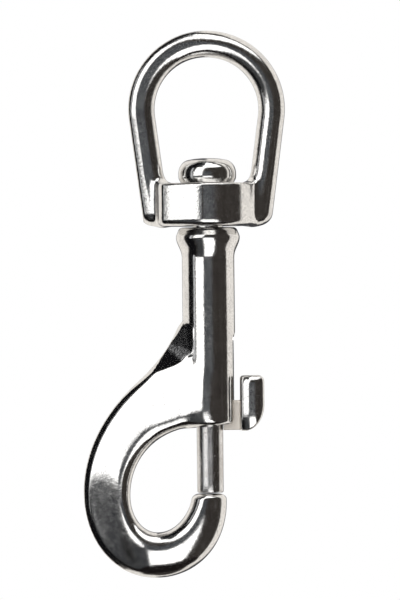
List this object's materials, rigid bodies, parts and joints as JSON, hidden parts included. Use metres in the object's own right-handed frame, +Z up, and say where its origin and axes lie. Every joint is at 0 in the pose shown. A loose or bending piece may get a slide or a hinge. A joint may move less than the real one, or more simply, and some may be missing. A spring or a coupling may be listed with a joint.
{
  "type": "swivel eye bolt snap",
  "caption": "Stainless snap hook with a swivelling line eye and a sprung bolt, drawn back by a thumb piece, that closes the mouth of the hook.",
  "frame": {"origin": "inside of the swivel eye's crown, where the line bears, on the swivel axis", "axes": "+Z up the swivel axis towards the crown, +X towards the thumb piece with the hook's bowl at -X, +Y along the hook's thickness"},
  "size_m": [0.0338, 0.0158, 0.0899],
  "materials": {
    "polished_steel": "polished",
    "machined_steel": "satin",
    "spring_steel": "satin"
  },
  "bodies": {
    "eye": {"swivel_eye": "polished_steel"},
    "snap": {"snap_body": "polished_steel", "swivel_stud": "polished_steel", "bolt_spring": "spring_steel"},
    "bolt": {"bolt_pin": "machined_steel", "thumb_piece": "polished_steel"}
  },
  "joints": [
    {"name": "eye_swivel", "type": "hinge", "parent": "eye", "child": "snap", "pos_m": [0, 0, -0.024], "axis": [0, 0, 1], "continuous": true},
    {"name": "bolt_slide", "type": "slide", "parent": "snap", "child": "bolt", "axis": [0, 0, 1], "range_m": [0, 0.0104], "stiffness_N_per_m": 500, "springref_m": -0.008, "deforming": ["bolt_spring"]}
  ]
}
